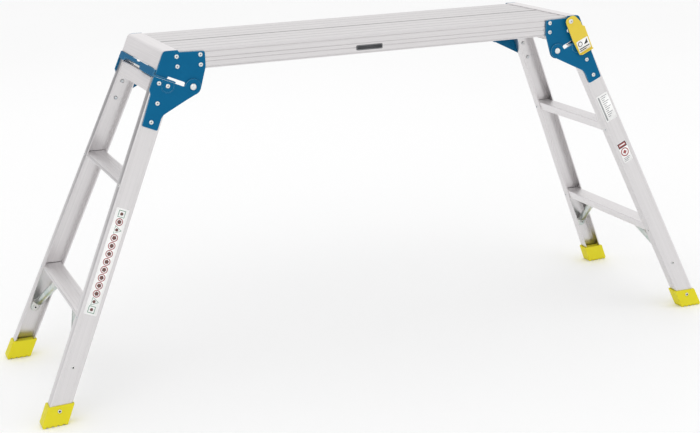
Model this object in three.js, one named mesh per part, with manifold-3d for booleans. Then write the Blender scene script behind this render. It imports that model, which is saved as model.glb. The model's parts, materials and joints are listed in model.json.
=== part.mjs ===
// A folding aluminium work platform: a ribbed two-plank deck on two hinged leg frames.
// Millimetres, +Z up, +X to the right end, -Y to the front. The origin is on the floor,
// midway between the four feet. Each end is drawn as the right-hand end, and the left-hand
// end is the same assembly turned half a turn about Z.

import * as THREE from "three";
import { mergeVertices } from "three/addons/utils/BufferGeometryUtils.js";
import Module from "manifold-3d";

const wasm = await Module();
wasm.setup();

// ---------------------------------------------------------------- driving dimensions

const GAP = 0.3; // clearance between neighbouring pieces
const SHEET = 3; // steel bracket thickness
const LEG_TILT = THREE.MathUtils.degToRad(23.75); // lean of a leg frame, foot outwards
const FLARE = THREE.MathUtils.degToRad(6.2); // sideways spread of a rail below its bend
const PIVOT = { x: 462.4, z: 696.3 }; // hinge axis of a leg frame

const DECK = {
  top: 777,
  bottom: 733.8,
  halfWidth: 146.7,
  halfLength: 516,
  wall: 2.4,
  topWall: 3.2,
  ribPitch: 9,
  grooveWidth: 2.4,
  grooveDepth: 0.8,
  sideGrooves: [6.5, 19.5, 28, 39], // below the top
  lip: 12,
  seat: 0.9, // depth milled off the ribs under a cap's lip
};

const CAP = { face: 90.4, wall: 2.4, lipX: 491.8, bottom: -9, corner: 8 };

// Distances in a leg frame: "out" runs outboard from the pivot, square to the leg,
// and "down" runs from the pivot along the leg towards the foot.
const BRACKET = {
  outer: 89.1, // outboard edge
  inner: 147, // inside face of the deck's plate, from the centre plane
  inboard: 31.6, // reach of the deck's plate inboard of the pivot
  step: 5.1, // drop of its top edge beside the cap's lip
  slotStart: 18.5,
  slotTop: -3.2,
  slotEnd: 60,
  slotRadius: 4.5, // at its upper inboard corner
  seam: 2.2, // lower edge of the deck's plate outboard of the slot
  top: 778.9,
  corner: 11, // radius at the top outboard corner
  knuckle: 19,
  legKnuckle: 17.5,
  bore: 5.3,
};
// The leg's plate as corners [out, -down, radius], outboard edge first.
const LEG_PLATE = [
  [91.5, -6.2, 2],
  [91.5, -37, 6],
  [85.3, -46, 6],
  [82.3, -115.5, 4],
  [46.2, -115.5, 4],
  [46.2, -81.3, 22],
  [-13.3, -11.3],
  [0, 0],
  [17.4, -1],
  [19.5, -6.2, 3.5],
];
const RAIL = {
  centre: 65,
  width: 46,
  depth: 25,
  web: 2.4,
  flange: 2.2,
  outer: BRACKET.inner + SHEET, // outside of the web above the bend, from the centre plane
  top: 10,
  bottom: 771,
  bend: 32,
};
const RUNG = {
  depth: 25, // of the inboard side, from the level tread to the underside
  wall: 2,
  endGap: 2.5, // between an end and the rail's web
  treads: { lower: 231.2, upper: 504 },
};
const TOP_RUNG = { top: 11, bottom: 44, depth: 25, sheet: 2.5 };
const FOOT = {
  top: 44.5,
  wall: 3.4,
  outerWall: 2.9,
  teeth: 5,
  notch: 7,
  notchDepth: 3.4,
  notchRadius: 2,
  toeCut: 3.5,
  toe: 5, // height of the sole's outboard corner
  heel: 2, // height of its inboard corner
};
// The part of a boot that fills the channel's end.
const PLUG = { top: 43, clear: 4.5 };
const BRACE = {
  radius: 9.5,
  wall: 1.5,
  tab: 2.5, // thickness of the flattened ends
  rivet: 656.4,
  foot: 645,
  head: 561.5,
  reach: 106,
  tabAbove: 22, // flattened length above the rivet
  tabBelow: 12,
  headTab: 36,
  headLap: 8, // how far the upper flat runs past the tube's end
};
const BAR = {
  top: 2.6,
  bottom: 5.8,
  face: 90.7,
  flange: 2.2,
  root: 0.8, // how far the web reaches into the flange
  tip: 41,
  heel: 62,
  neck: 138.7, // where the tongues start, from the centre plane
  open: 100, // start of the gap in the web
  proud: 154,
};
// The bar's outer flange as corners [y, -down, radius].
const BAR_FLANGE = [
  [-146.7, 8.2, 2],
  [-10, 8.2, 3],
  [-2, 5, 3],
  [16, 5, 3],
  [24, 8.2, 3],
  [146.7, 8.2, 2],
  [146.7, -8.5, 2],
  [40, -8.5, 3],
  [36, -1, 2],
  [-92, -1, 3],
  [-104, -8.5, 3],
  [-146.7, -8.5, 2],
];
const SPRING = {
  coil: 2.6,
  wire: 0.6,
  turns: 11,
  length: 66,
  out: 84.5,
  room: 34.5, // end of the gap in the bar's web
  rod: 1.5, // radius of the rod inside the coil
  rodLap: 5,
};
const LEVER = {
  screw: { out: 58, down: -51.3 },
  spacer: 6,
  inner: 157.5,
  sheet: 2,
  hole: 3.3,
  edge: 88.8,
  foldTop: 21,
  foldDepth: 4.9,
  bottom: 39.4,
  lipStart: 54,
  lip: 4,
};
// The lever's plate as corners [out, -down, radius].
const LEVER_PLATE = [
  [44.5, 62, 12],
  [72, 62, 14],
  [82.6, 38, 10],
  [82.8, 28],
  [88.8, 22.6, 1],
  [89, -39.4],
  [50, -39.4, 5],
  [45.4, 4, 10],
];
const FOOT_RIVET = 754.3; // distance down the leg
const RIVET_HOLE = 2.6; // radius
const FAR = 400; // beyond any leg piece, for cutting tools
const REACH = [-40, 130]; // "out" on both sides of every leg piece, for cutting tools

// ---------------------------------------------------------------- materials

const FINISHES = {
  aluminium: { color: 0xd6d2cf, roughness: 0.38, metalness: 1 },
  blue: { color: 0x0f6493, roughness: 0.42, metalness: 0.1 },
  yellow: { color: 0xe0d334, roughness: 0.55, metalness: 0 },
  lever: { color: 0xe6cb45, roughness: 0.4, metalness: 0.1 },
  zinc: { color: 0xc9cdd0, roughness: 0.3, metalness: 1 },
};

// ---------------------------------------------------------------- solids

const X = new THREE.Vector3(1, 0, 0);
const Y = new THREE.Vector3(0, 1, 0);
const Z = new THREE.Vector3(0, 0, 1);

function solidOf(geometry) {
  geometry.deleteAttribute("normal");
  geometry.deleteAttribute("uv");
  const merged = mergeVertices(geometry, 1e-4);
  return new wasm.Manifold(
    new wasm.Mesh({
      numProp: 3,
      vertProperties: merged.attributes.position.array,
      triVerts: new Uint32Array(merged.index.array),
    }),
  );
}

function geometryOf(solid) {
  const mesh = solid.getMesh();
  const geometry = new THREE.BufferGeometry();
  geometry.setAttribute("position", new THREE.BufferAttribute(mesh.vertProperties, 3));
  geometry.setIndex(new THREE.BufferAttribute(mesh.triVerts, 1));
  geometry.computeVertexNormals();
  return geometry;
}

// A closed outline through corners [a, b, radius], each rounded by its radius.
function outline(corners) {
  const shape = new THREE.Shape();
  corners.forEach(([a, b, radius = 0], index) => {
    const corner = new THREE.Vector2(a, b);
    const before = new THREE.Vector2(...corners.at(index - 1).slice(0, 2)).sub(corner);
    const after = new THREE.Vector2(...corners[(index + 1) % corners.length].slice(0, 2)).sub(corner);
    const half = before.angleTo(after) / 2;
    const reach = radius / Math.tan(half);
    const start = corner.clone().addScaledVector(before.normalize(), reach);
    const end = corner.clone().addScaledVector(after.normalize(), reach);
    if (index === 0) shape.moveTo(start.x, start.y);
    else shape.lineTo(start.x, start.y);
    if (radius > 0) shape.quadraticCurveTo(corner.x, corner.y, end.x, end.y);
  });
  shape.closePath();
  return shape;
}

// A prism along one axis. Its outline is drawn in (y, z), (x, z) or (x, y).
function prism(shape, axis, low, high) {
  const geometry = new THREE.ExtrudeGeometry(shape, {
    depth: high - low,
    bevelEnabled: false,
    curveSegments: 4,
  });
  const place = new THREE.Matrix4();
  if (axis === "x") place.makeBasis(Y, Z, X).setPosition(low, 0, 0);
  if (axis === "y") place.makeBasis(X, Z, Y.clone().negate()).setPosition(0, high, 0);
  if (axis === "z") place.setPosition(0, 0, low);
  return solidOf(geometry.applyMatrix4(place));
}

function block(xLow, xHigh, yLow, yHigh, zLow, zHigh) {
  const geometry = new THREE.BoxGeometry(xHigh - xLow, yHigh - yLow, zHigh - zLow);
  geometry.translate((xLow + xHigh) / 2, (yLow + yHigh) / 2, (zLow + zHigh) / 2);
  return solidOf(geometry);
}

// A round bar or hole along Y through the point (x, z).
function roundAlongY(x, z, radius, yLow, yHigh, sides = 20) {
  const geometry = new THREE.CylinderGeometry(radius, radius, yHigh - yLow, sides);
  return solidOf(geometry.translate(x, (yLow + yHigh) / 2, z));
}

// The stretch between two distances from the centre plane, on one side of the object.
function span(side, near, far) {
  return side > 0 ? [near, far] : [-far, -near];
}

// ---------------------------------------------------------------- leg geometry

const flareAt = (down) => Math.max(0, down - RAIL.bend) * Math.tan(FLARE);

// A point of the deck's own (x, z) plane, in a leg frame's (out, -down) plane.
function toLeg(x, z) {
  const dx = x - PIVOT.x;
  const dz = z - PIVOT.z;
  return [
    dx * Math.cos(LEG_TILT) + dz * Math.sin(LEG_TILT),
    dz * Math.cos(LEG_TILT) - dx * Math.sin(LEG_TILT),
  ];
}

// The reverse: a leg frame's (out, down) in the deck's (x, z) plane.
function toDeck(out, down) {
  return [
    PIVOT.x + out * Math.cos(LEG_TILT) + down * Math.sin(LEG_TILT),
    PIVOT.z + out * Math.sin(LEG_TILT) - down * Math.cos(LEG_TILT),
  ];
}

// The point of a leg frame that lies "out" from the pivot line at a height above the floor.
const atHeight = (out, z) => [
  out,
  (z - PIVOT.z - out * Math.sin(LEG_TILT)) / Math.cos(LEG_TILT),
];

// The faces of a rung, just inside the channels' flanges.
const RUNG_LOW = RAIL.centre - RAIL.width / 2 + RAIL.flange + GAP;
const RUNG_HIGH = RAIL.centre + RAIL.width / 2 - RAIL.flange - GAP;

// How far down the leg the underside of a rung lies.
const undersideOf = (tread) => RUNG.depth - atHeight(RUNG_LOW, tread)[1];

// A layer that follows the bent rails: its outline in (y, -down), drawn for one side.
function layer(side, near, far, top, bottom) {
  const stations = [top, RAIL.bend, bottom].filter((s) => s === top || s === bottom || s > top);
  const edge = (y) => stations.map((s) => [side * (y + flareAt(s)), -s]);
  return prism(outline([...edge(near), ...edge(far).reverse()]), "x", ...REACH);
}

// Turns a piece drawn about local +Y so that +Y points straight out of a rail's web.
function ontoRail(geometry, side, out, down) {
  const turn = side > 0 ? FLARE : Math.PI - FLARE;
  const place = new THREE.Matrix4().makeRotationX(turn);
  return geometry.applyMatrix4(place.setPosition(out, side * (RAIL.outer + flareAt(down)), -down));
}

function railHole(side, down) {
  const drill = new THREE.CylinderGeometry(RIVET_HOLE, RIVET_HOLE, RAIL.depth, 12);
  return solidOf(ontoRail(drill, side, RAIL.centre, down));
}

// ---------------------------------------------------------------- deck pieces

// One plank, on the +Y side: a ribbed top, a grooved outer skirt, an inner skirt, two
// stiffening webs and a lip along the foot of each skirt. The ribs are milled away where
// the caps' lips lie on it.
function plank() {
  const { top, bottom, halfWidth, wall, topWall, lip } = DECK;
  const inner = GAP / 2;
  const width = halfWidth - inner;
  const edge = [
    [inner, bottom],
    [inner, top],
  ];
  const grooves = Math.floor(width / DECK.ribPitch) - 1;
  const first = inner + (width - (grooves - 1) * DECK.ribPitch) / 2;
  for (let i = 0; i < grooves; i += 1) {
    const y = first + i * DECK.ribPitch;
    const [mouth, floor] = [DECK.grooveWidth / 2, DECK.grooveWidth / 4];
    edge.push([y - mouth, top], [y - floor, top - DECK.grooveDepth]);
    edge.push([y + floor, top - DECK.grooveDepth], [y + mouth, top]);
  }
  edge.push([halfWidth - 1, top], [halfWidth, top - 1]);
  for (const drop of DECK.sideGrooves) {
    const z = top - drop;
    const floor = halfWidth - DECK.grooveDepth;
    edge.push([halfWidth, z + 0.9], [floor, z + 0.4], [floor, z - 0.4], [halfWidth, z - 0.9]);
  }
  edge.push([halfWidth, bottom], [halfWidth - lip, bottom], [halfWidth - lip, bottom + wall]);
  edge.push([halfWidth - wall, bottom + wall], [halfWidth - wall, top - topWall]);
  for (const share of [2 / 3, 1 / 3]) {
    const y = inner + width * share;
    edge.push([y + wall / 2, top - topWall], [y + wall / 2, bottom + wall]);
    edge.push([y - wall / 2, bottom + wall], [y - wall / 2, top - topWall]);
  }
  edge.push([inner + wall, top - topWall], [inner + wall, bottom + wall]);
  edge.push([inner + lip / 2, bottom + wall], [inner + lip / 2, bottom]);
  const seatX = [CAP.lipX - GAP, DECK.halfLength + 1];
  const seat = (x) => block(...x, 0, halfWidth + 1, top - DECK.seat, top + 1);
  return prism(outline(edge), "x", -DECK.halfLength, DECK.halfLength)
    .subtract(seat(seatX))
    .subtract(seat(seatX.map((x) => -x).reverse()));
}

// The folded cap over the deck's end: a lip on the top, a round corner and a sloping face.
function endCap() {
  const lipBottom = DECK.top - DECK.seat + GAP;
  const lipTop = lipBottom + CAP.wall;
  const back = CAP.face - CAP.wall;
  return prism(
    outline([
      [CAP.lipX, lipTop],
      [faceAt(CAP.face, lipTop), lipTop, CAP.corner],
      toDeck(CAP.face, CAP.bottom),
      toDeck(back, CAP.bottom),
      [faceAt(back, lipBottom), lipBottom, CAP.corner - CAP.wall],
      [CAP.lipX, lipBottom],
    ]),
    "y",
    -DECK.halfWidth,
    DECK.halfWidth,
  );
}

// The x of the plane "out" from the pivot line, at a height above the floor.
function faceAt(out, z) {
  return PIVOT.x + (out - (z - PIVOT.z) * Math.sin(LEG_TILT)) / Math.cos(LEG_TILT);
}

// The fixed half of a hinge. The slot under its lower edge stays open, so the lock bar's
// tongue can swing away with the leg.
function deckBracket(side, screwHole) {
  const { knuckle, top } = BRACKET;
  const lowered = top - BRACKET.step;
  const inboard = PIVOT.x - BRACKET.inboard;
  const plate = outline([
    [inboard, lowered - 1.6, 5],
    [inboard, DECK.bottom + 4, 8],
    [PIVOT.x - 0.97 * knuckle, PIVOT.z - 0.24 * knuckle],
    [PIVOT.x, PIVOT.z],
    toDeck(BRACKET.slotStart, 2),
    [...toDeck(BRACKET.slotStart, BRACKET.slotTop), BRACKET.slotRadius],
    toDeck(BRACKET.slotEnd, BRACKET.slotTop),
    toDeck(BRACKET.slotEnd + 2, BRACKET.seam),
    [...toDeck(BRACKET.outer, BRACKET.seam), 2],
    [faceAt(BRACKET.outer, top), top, BRACKET.corner],
    [CAP.lipX, top, 1],
    [CAP.lipX - 3, lowered, 1],
  ]);
  const layers = span(side, BRACKET.inner, BRACKET.inner + SHEET);
  const through = span(side, BRACKET.inner - 10, BRACKET.inner + 20);
  let bracket = prism(plate, "y", ...layers)
    .add(roundAlongY(PIVOT.x, PIVOT.z, knuckle, ...layers, 36))
    .subtract(roundAlongY(PIVOT.x, PIVOT.z, BRACKET.bore, ...through));
  if (screwHole) {
    const [x, z] = toDeck(LEVER.screw.out, LEVER.screw.down);
    bracket = bracket.subtract(roundAlongY(x, z, LEVER.hole, ...through));
  }
  return bracket;
}

// ---------------------------------------------------------------- leg pieces

// The moving half of a hinge, bent outwards where it meets the flared rail.
function legBracket(side) {
  const layers = span(side, RAIL.outer, RAIL.outer + 30);
  const near = RAIL.outer + GAP;
  return prism(outline(LEG_PLATE), "y", ...layers)
    .add(roundAlongY(0, 0, BRACKET.legKnuckle, ...layers, 36))
    .intersect(layer(side, near, near + SHEET, -30, 130))
    .subtract(roundAlongY(0, 0, BRACKET.bore, ...layers));
}

// A channel rail, web outside and flanges inwards, bent once below its top.
function rail(side) {
  const half = RAIL.width / 2;
  const { centre, flange, outer, depth, web } = RAIL;
  const deep = span(side, 0, FAR);
  const body = prism(
    outline([
      [centre - half, -RAIL.top],
      [centre + half, -RAIL.top],
      [centre + half, -RAIL.bottom],
      [centre - half, -RAIL.bottom],
    ]),
    "y",
    ...deep,
  ).intersect(layer(side, outer - depth, outer, 0, FAR * 2));
  const trough = prism(
    outline([
      [centre - half + flange, 0],
      [centre + half - flange, 0],
      [centre + half - flange, -FAR * 2],
      [centre - half + flange, -FAR * 2],
    ]),
    "y",
    ...deep,
  ).intersect(layer(side, outer - depth - 5, outer - web, 0, FAR * 2));
  return body
    .subtract(trough)
    .subtract(railHole(side, FOOT_RIVET))
    .subtract(railHole(side, BRACE.rivet));
}

// The space between the two rails' webs that the rungs may fill.
function betweenRails(top, bottom) {
  const reach = (s) => RAIL.outer - RAIL.web - RUNG.endGap + flareAt(s);
  const stations = [top, bottom];
  const right = stations.map((s) => [reach(s), -s]);
  const left = stations.map((s) => [-reach(s), -s]).reverse();
  return prism(outline([...right, ...left]), "x", ...REACH);
}

// A hollow wedge let into both channels: a level tread, an underside square to the leg.
function rung(tread) {
  const under = undersideOf(tread);
  const ring = (inset) =>
    outline([
      atHeight(RUNG_LOW + inset, tread - inset),
      atHeight(RUNG_HIGH - inset, tread - inset),
      [RUNG_HIGH - inset, inset - under],
      [RUNG_LOW + inset, inset - under],
    ]);
  return prism(ring(0), "y", -FAR, FAR)
    .subtract(prism(ring(RUNG.wall), "y", -FAR - 1, FAR + 1))
    .intersect(betweenRails(under - 60, under + 40));
}

// The angle under the lock bar.
function topRung() {
  const reach = RAIL.outer - RAIL.web - RUNG.endGap;
  const { top, bottom, depth, sheet } = TOP_RUNG;
  const low = RUNG_HIGH - depth;
  return block(low, RUNG_HIGH, -reach, reach, -bottom, -top).subtract(
    block(low - 1, RUNG_HIGH - sheet, -reach - 1, reach + 1, -bottom - 1, -top - sheet),
  );
}

// A moulded boot with a level top and a toothed level sole.
function foot(side) {
  const deep = span(side, 0, FAR);
  const low = RAIL.centre - RAIL.width / 2 - FOOT.wall;
  const high = RAIL.centre + RAIL.width / 2 + FOOT.wall;
  const heel = faceAt(low, 0);
  const toe = faceAt(high, 0) - FOOT.toeCut;
  const pitch = (toe - heel + FOOT.notch) / FOOT.teeth;
  const sole = [];
  for (let i = 0; i < FOOT.teeth; i += 1) {
    const start = heel + i * pitch;
    sole.push(toLeg(start, 0), toLeg(start + pitch - FOOT.notch, 0));
    const notch = toLeg(start + pitch - FOOT.notch / 2, FOOT.notchDepth);
    if (i < FOOT.teeth - 1) sole.push([...notch, FOOT.notchRadius]);
  }
  const body = prism(
    outline([
      ...sole,
      atHeight(high, FOOT.toe),
      [...atHeight(high, FOOT.top), 1.5],
      [...atHeight(low, FOOT.top), 1.5],
      atHeight(low, FOOT.heel),
    ]),
    "y",
    ...deep,
  );
  const envelope = block(
    low + FOOT.wall - GAP,
    high - FOOT.wall + GAP,
    ...deep,
    -RAIL.bottom - GAP,
    -700,
  );
  const inside = FOOT.wall + RAIL.flange + GAP;
  const plug = prism(
    outline([
      atHeight(low + inside, PLUG.top),
      atHeight(high - inside, PLUG.top),
      [high - inside, -RAIL.bottom - 2 * GAP],
      [low + inside, -RAIL.bottom - 2 * GAP],
    ]),
    "y",
    ...deep,
  );
  const near = RAIL.outer - RAIL.depth - GAP;
  const far = RAIL.outer + GAP;
  return body
    .intersect(layer(side, near - FOOT.wall, far + FOOT.outerWall, 700, 820))
    .subtract(envelope.intersect(layer(side, near, far, 690, 820)))
    .add(plug.intersect(layer(side, near - GAP, RAIL.outer - PLUG.clear - RAIL.web, 700, 820)))
    .subtract(railHole(side, FOOT_RIVET));
}

// A steel tube stay from the rail's web up to the underside of the lower rung.
function brace(side) {
  const web = (s) => RAIL.outer - RAIL.web - GAP + flareAt(s);
  const { centre } = RAIL;
  const foot = web(BRACE.foot) - BRACE.radius + BRACE.tab;
  const lower = new THREE.Vector3(centre, side * foot, -BRACE.foot);
  const upper = new THREE.Vector3(centre, side * BRACE.reach, -BRACE.head);
  const along = upper.clone().sub(lower);
  const tube = (radius, extra) => {
    const geometry = new THREE.CylinderGeometry(radius, radius, along.length() + extra, 20);
    const turn = new THREE.Quaternion().setFromUnitVectors(Y, along.clone().normalize());
    const place = new THREE.Matrix4().makeRotationFromQuaternion(turn);
    const middle = lower.clone().add(upper).multiplyScalar(0.5);
    return solidOf(geometry.applyMatrix4(place.setPosition(middle)));
  };
  const [tabTop, tabEnd] = [BRACE.rivet - BRACE.tabAbove, BRACE.rivet + BRACE.tabBelow];
  const railTab = block(
    centre - BRACE.radius,
    centre + BRACE.radius,
    ...span(side, 0, FAR),
    -tabEnd,
    -tabTop,
  ).intersect(layer(side, web(0) - BRACE.tab, web(0), tabTop - 10, tabEnd + 10));
  const under = undersideOf(RUNG.treads.lower) + GAP;
  const headEnd = BRACE.reach + BRACE.headLap;
  const headTab = block(
    centre - BRACE.radius,
    centre + BRACE.radius,
    ...span(side, headEnd - BRACE.headTab, headEnd),
    -under - BRACE.tab,
    -under,
  );
  return tube(BRACE.radius, 0)
    .subtract(tube(BRACE.radius - BRACE.wall, 10))
    .add(railTab)
    .add(headTab)
    .subtract(railHole(side, BRACE.rivet));
}

// ---------------------------------------------------------------- lock and lever

// The spring-loaded bar: a web whose end tongues lie in the hinge slots, an outer flange,
// and a rod for the spring across the gap in the web.
function lockBar() {
  const half = [
    [BAR.face + BAR.flange, DECK.halfWidth],
    [BAR.face + BAR.root, DECK.halfWidth],
    [BAR.face + BAR.root, BAR.proud],
    [BAR.tip, BAR.proud],
    [BAR.tip, BAR.neck],
    [BAR.heel, BAR.neck],
  ];
  const web = outline([...half, ...half.map(([a, b]) => [a, -b]).reverse()]);
  const { out, room, rod, rodLap } = SPRING;
  const middle = -(BAR.top + BAR.bottom) / 2;
  const gap = [BAR.heel - 1, BAR.face + BAR.flange + 1, -BAR.open, room];
  return prism(web, "z", -BAR.bottom, -BAR.top)
    .subtract(block(...gap, -BAR.bottom - 1, -BAR.top + 1))
    .add(roundAlongY(out, middle, rod, -BAR.open - rodLap, room + rodLap, 12))
    .add(prism(outline(BAR_FLANGE), "x", BAR.face, BAR.face + BAR.flange));
}

class Helix extends THREE.Curve {
  getPoint(t) {
    const angle = 2 * Math.PI * SPRING.turns * t;
    const y = SPRING.length * (t - 0.5);
    return new THREE.Vector3(SPRING.coil * Math.cos(angle), y, SPRING.coil * Math.sin(angle));
  }
}

// The bar's return spring, a coil along the rod.
function lockSpring() {
  const wire = new THREE.Shape().absarc(0, 0, SPRING.wire, 0, 2 * Math.PI);
  const geometry = new THREE.ExtrudeGeometry(wire, {
    steps: SPRING.turns * 7,
    curveSegments: 2,
    extrudePath: new Helix(),
  });
  return solidOf(geometry.translate(SPRING.out, 0, -(BAR.top + BAR.bottom) / 2));
}

// The safety lever: a hanging plate with a folded outer edge and a finger lip.
function safetyLever() {
  const { screw, inner, sheet, edge, bottom } = LEVER;
  const outer = inner + sheet;
  const fold = inner + sheet - LEVER.foldDepth;
  return prism(outline(LEVER_PLATE), "y", -outer, -inner)
    .add(block(edge - sheet, edge, -outer, -fold, -bottom, LEVER.foldTop))
    .add(block(LEVER.lipStart, edge, -outer - LEVER.lip, -inner - 1, -bottom, sheet - bottom))
    .subtract(roundAlongY(screw.out, -screw.down, LEVER.hole, -FAR, 0));
}

// ---------------------------------------------------------------- turned pieces

// A round-headed fastener along local +Y, its head outside and its tail inside.
function fastener({ head, rise, shank, outside, inside, tail, tailRise }) {
  const profile = [new THREE.Vector2(0, outside + rise)];
  const steps = 4;
  for (let i = 1; i <= steps; i += 1) {
    const angle = (i / steps) * (Math.PI / 2);
    profile.push(new THREE.Vector2(head * Math.sin(angle), outside + rise * Math.cos(angle)));
  }
  profile.push(new THREE.Vector2(shank, outside), new THREE.Vector2(shank, inside));
  if (tail > shank) {
    profile.push(new THREE.Vector2(tail, inside), new THREE.Vector2(tail, inside - tailRise));
  }
  profile.push(new THREE.Vector2(0, inside - (tailRise ?? 0)));
  return new THREE.LatheGeometry(profile.reverse(), 16);
}

const FOOT_RIVET_SIZE = {
  head: 4.8,
  rise: 2,
  shank: 2.3,
  outside: FOOT.outerWall + 2 * GAP,
  inside: -RAIL.web - GAP,
  tail: 4,
  tailRise: 1.4,
};
const BRACE_RIVET_SIZE = {
  head: 4,
  rise: 1.6,
  shank: 2.3,
  outside: GAP,
  inside: -RAIL.web - BRACE.tab - 2 * GAP,
  tail: 4,
  tailRise: 1.4,
};
const HINGE_PIN_SIZE = {
  head: 7.8,
  rise: 4.4,
  shank: 5,
  outside: RAIL.outer + SHEET + 2 * GAP,
  inside: BRACKET.inner - GAP,
  tail: 7.8,
  tailRise: 3,
};
const LEVER_SCREW_SIZE = {
  head: 6.2,
  rise: 3.2,
  shank: 3,
  outside: LEVER.inner + LEVER.sheet + GAP,
  inside: BRACKET.inner + 0.1,
  tail: 0,
};

// A collar that holds the lever off the bracket.
function leverSpacer() {
  const { screw, spacer, hole } = LEVER;
  const [near, far] = [BRACKET.inner + SHEET + GAP, LEVER.inner - GAP];
  const body = roundAlongY(screw.out, -screw.down, spacer, -far, -near);
  return body.subtract(roundAlongY(screw.out, -screw.down, hole, -FAR, 0));
}

// ---------------------------------------------------------------- assembly

const platform = new THREE.Group();

function piece(group, name, shape, finish) {
  const geometry = shape.isBufferGeometry ? shape : geometryOf(shape);
  const mesh = new THREE.Mesh(geometry, new THREE.MeshStandardMaterial(FINISHES[finish]));
  mesh.name = name;
  group.add(mesh);
  return mesh;
}

// Turns a fastener drawn along +Y so that its head faces out of one side.
const outwards = (geometry, side) => (side > 0 ? geometry : geometry.rotateZ(Math.PI));

function addDeck() {
  piece(platform, "deck_plank_rear", plank(), "aluminium");
  piece(platform, "deck_plank_front", plank(), "aluminium").rotation.z = Math.PI;
}

function addEnd(end) {
  const right = end === "right";
  const whole = new THREE.Group();
  whole.rotation.z = right ? 0 : Math.PI;
  platform.add(whole);

  const leg = new THREE.Group();
  leg.position.set(PIVOT.x, 0, PIVOT.z);
  leg.rotation.y = -LEG_TILT;
  whole.add(leg);

  piece(whole, `end_cap_${end}`, endCap(), "aluminium");
  for (const side of [-1, 1]) {
    const face = right === side < 0 ? "front" : "rear";
    const place = `${end}_${face}`;
    piece(whole, `deck_bracket_${place}`, deckBracket(side, place === "right_front"), "blue");
    piece(leg, `hinge_pin_${place}`, outwards(fastener(HINGE_PIN_SIZE), side), "zinc");
    piece(leg, `leg_bracket_${place}`, legBracket(side), "blue");
    piece(leg, `leg_rail_${place}`, rail(side), "aluminium");
    piece(leg, `foot_${place}`, foot(side), "yellow");
    piece(leg, `brace_${place}`, brace(side), "zinc");
    const footRivet = ontoRail(fastener(FOOT_RIVET_SIZE), side, RAIL.centre, FOOT_RIVET);
    piece(leg, `foot_rivet_${place}`, footRivet, "zinc");
    const braceRivet = ontoRail(fastener(BRACE_RIVET_SIZE), side, RAIL.centre, BRACE.rivet);
    piece(leg, `brace_rivet_${place}`, braceRivet, "zinc");
  }
  piece(leg, `lower_rung_${end}`, rung(RUNG.treads.lower), "aluminium");
  piece(leg, `upper_rung_${end}`, rung(RUNG.treads.upper), "aluminium");
  piece(leg, `top_rung_${end}`, topRung(), "aluminium");
  piece(leg, `lock_bar_${end}`, lockBar(), "blue");
  piece(leg, `lock_spring_${end}`, lockSpring(), "zinc");
  if (right) {
    const screw = outwards(fastener(LEVER_SCREW_SIZE), -1);
    piece(leg, "safety_lever", safetyLever(), "lever");
    piece(leg, "lever_screw", screw.translate(LEVER.screw.out, 0, -LEVER.screw.down), "zinc");
    piece(leg, "lever_spacer", leverSpacer(), "zinc");
  }
}

addDeck();
addEnd("left");
addEnd("right");

export default platform;
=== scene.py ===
"""A folding aluminium work platform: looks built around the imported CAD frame. Metres."""

import json
import math

import bmesh
import bpy
from mathutils import Matrix, Vector


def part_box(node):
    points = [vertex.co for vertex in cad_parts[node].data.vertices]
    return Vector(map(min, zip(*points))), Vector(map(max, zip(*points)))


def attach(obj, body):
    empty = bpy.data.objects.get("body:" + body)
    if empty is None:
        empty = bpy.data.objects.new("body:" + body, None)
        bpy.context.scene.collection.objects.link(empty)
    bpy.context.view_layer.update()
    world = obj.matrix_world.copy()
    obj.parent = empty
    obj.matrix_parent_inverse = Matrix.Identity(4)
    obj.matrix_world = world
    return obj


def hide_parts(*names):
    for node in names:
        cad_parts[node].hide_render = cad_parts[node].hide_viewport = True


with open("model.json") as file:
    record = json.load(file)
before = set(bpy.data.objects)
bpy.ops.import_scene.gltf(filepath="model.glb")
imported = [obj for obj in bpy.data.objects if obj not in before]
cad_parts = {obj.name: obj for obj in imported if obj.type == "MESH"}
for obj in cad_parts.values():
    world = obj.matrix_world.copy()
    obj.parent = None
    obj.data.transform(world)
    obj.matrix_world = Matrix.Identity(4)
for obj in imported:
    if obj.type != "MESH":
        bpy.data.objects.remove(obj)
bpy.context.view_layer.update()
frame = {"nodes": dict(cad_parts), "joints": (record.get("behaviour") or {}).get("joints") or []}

# ------------------------------------------------------------------ places, from the frame

MM = 0.001
JOINTS = {joint["name"]: joint for joint in frame["joints"]}
PIVOT = Vector(JOINTS["fold_right"]["pos_m"]) / MM
OUT = Vector(JOINTS["lock_slide_right"]["axis"])  # outboard, square to the right leg
DOWN = Vector((OUT.z, 0, -OUT.x))  # along the right leg, towards the foot
LEVER_AXIS = Vector(JOINTS["lever_swing"]["pos_m"]) / MM

ENDS = {"left": -1, "right": 1}
SIDES = {"front": -1, "rear": 1}
PLACES = [(end, side) for end in ENDS for side in SIDES]


def extent(node, axis, high=True):
    """One face of a CAD node's box, in millimetres."""
    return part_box(node)[1 if high else 0][axis] / MM


DECK_TOP = extent("deck_plank_rear", 2)
DECK_BOTTOM = extent("deck_plank_rear", 2, False)
DECK_HALF = extent("deck_plank_rear", 0)
DECK_SIDE = extent("deck_plank_rear", 1)
DECK_SEAM = extent("deck_plank_rear", 1, False)
CAP_TOP = extent("end_cap_right", 2)
CAP_INNER = extent("end_cap_right", 0, False)
PLATE_OUT = extent("deck_bracket_right_rear", 1)  # outside of the deck's hinge plates
LEG_PLATE_OUT = PLATE_OUT + 3.3  # outside of the leg's hinge plates, above their bend
TREADS = {name: extent(f"{name}_rung_right", 2) for name in ("lower", "upper")}

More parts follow.
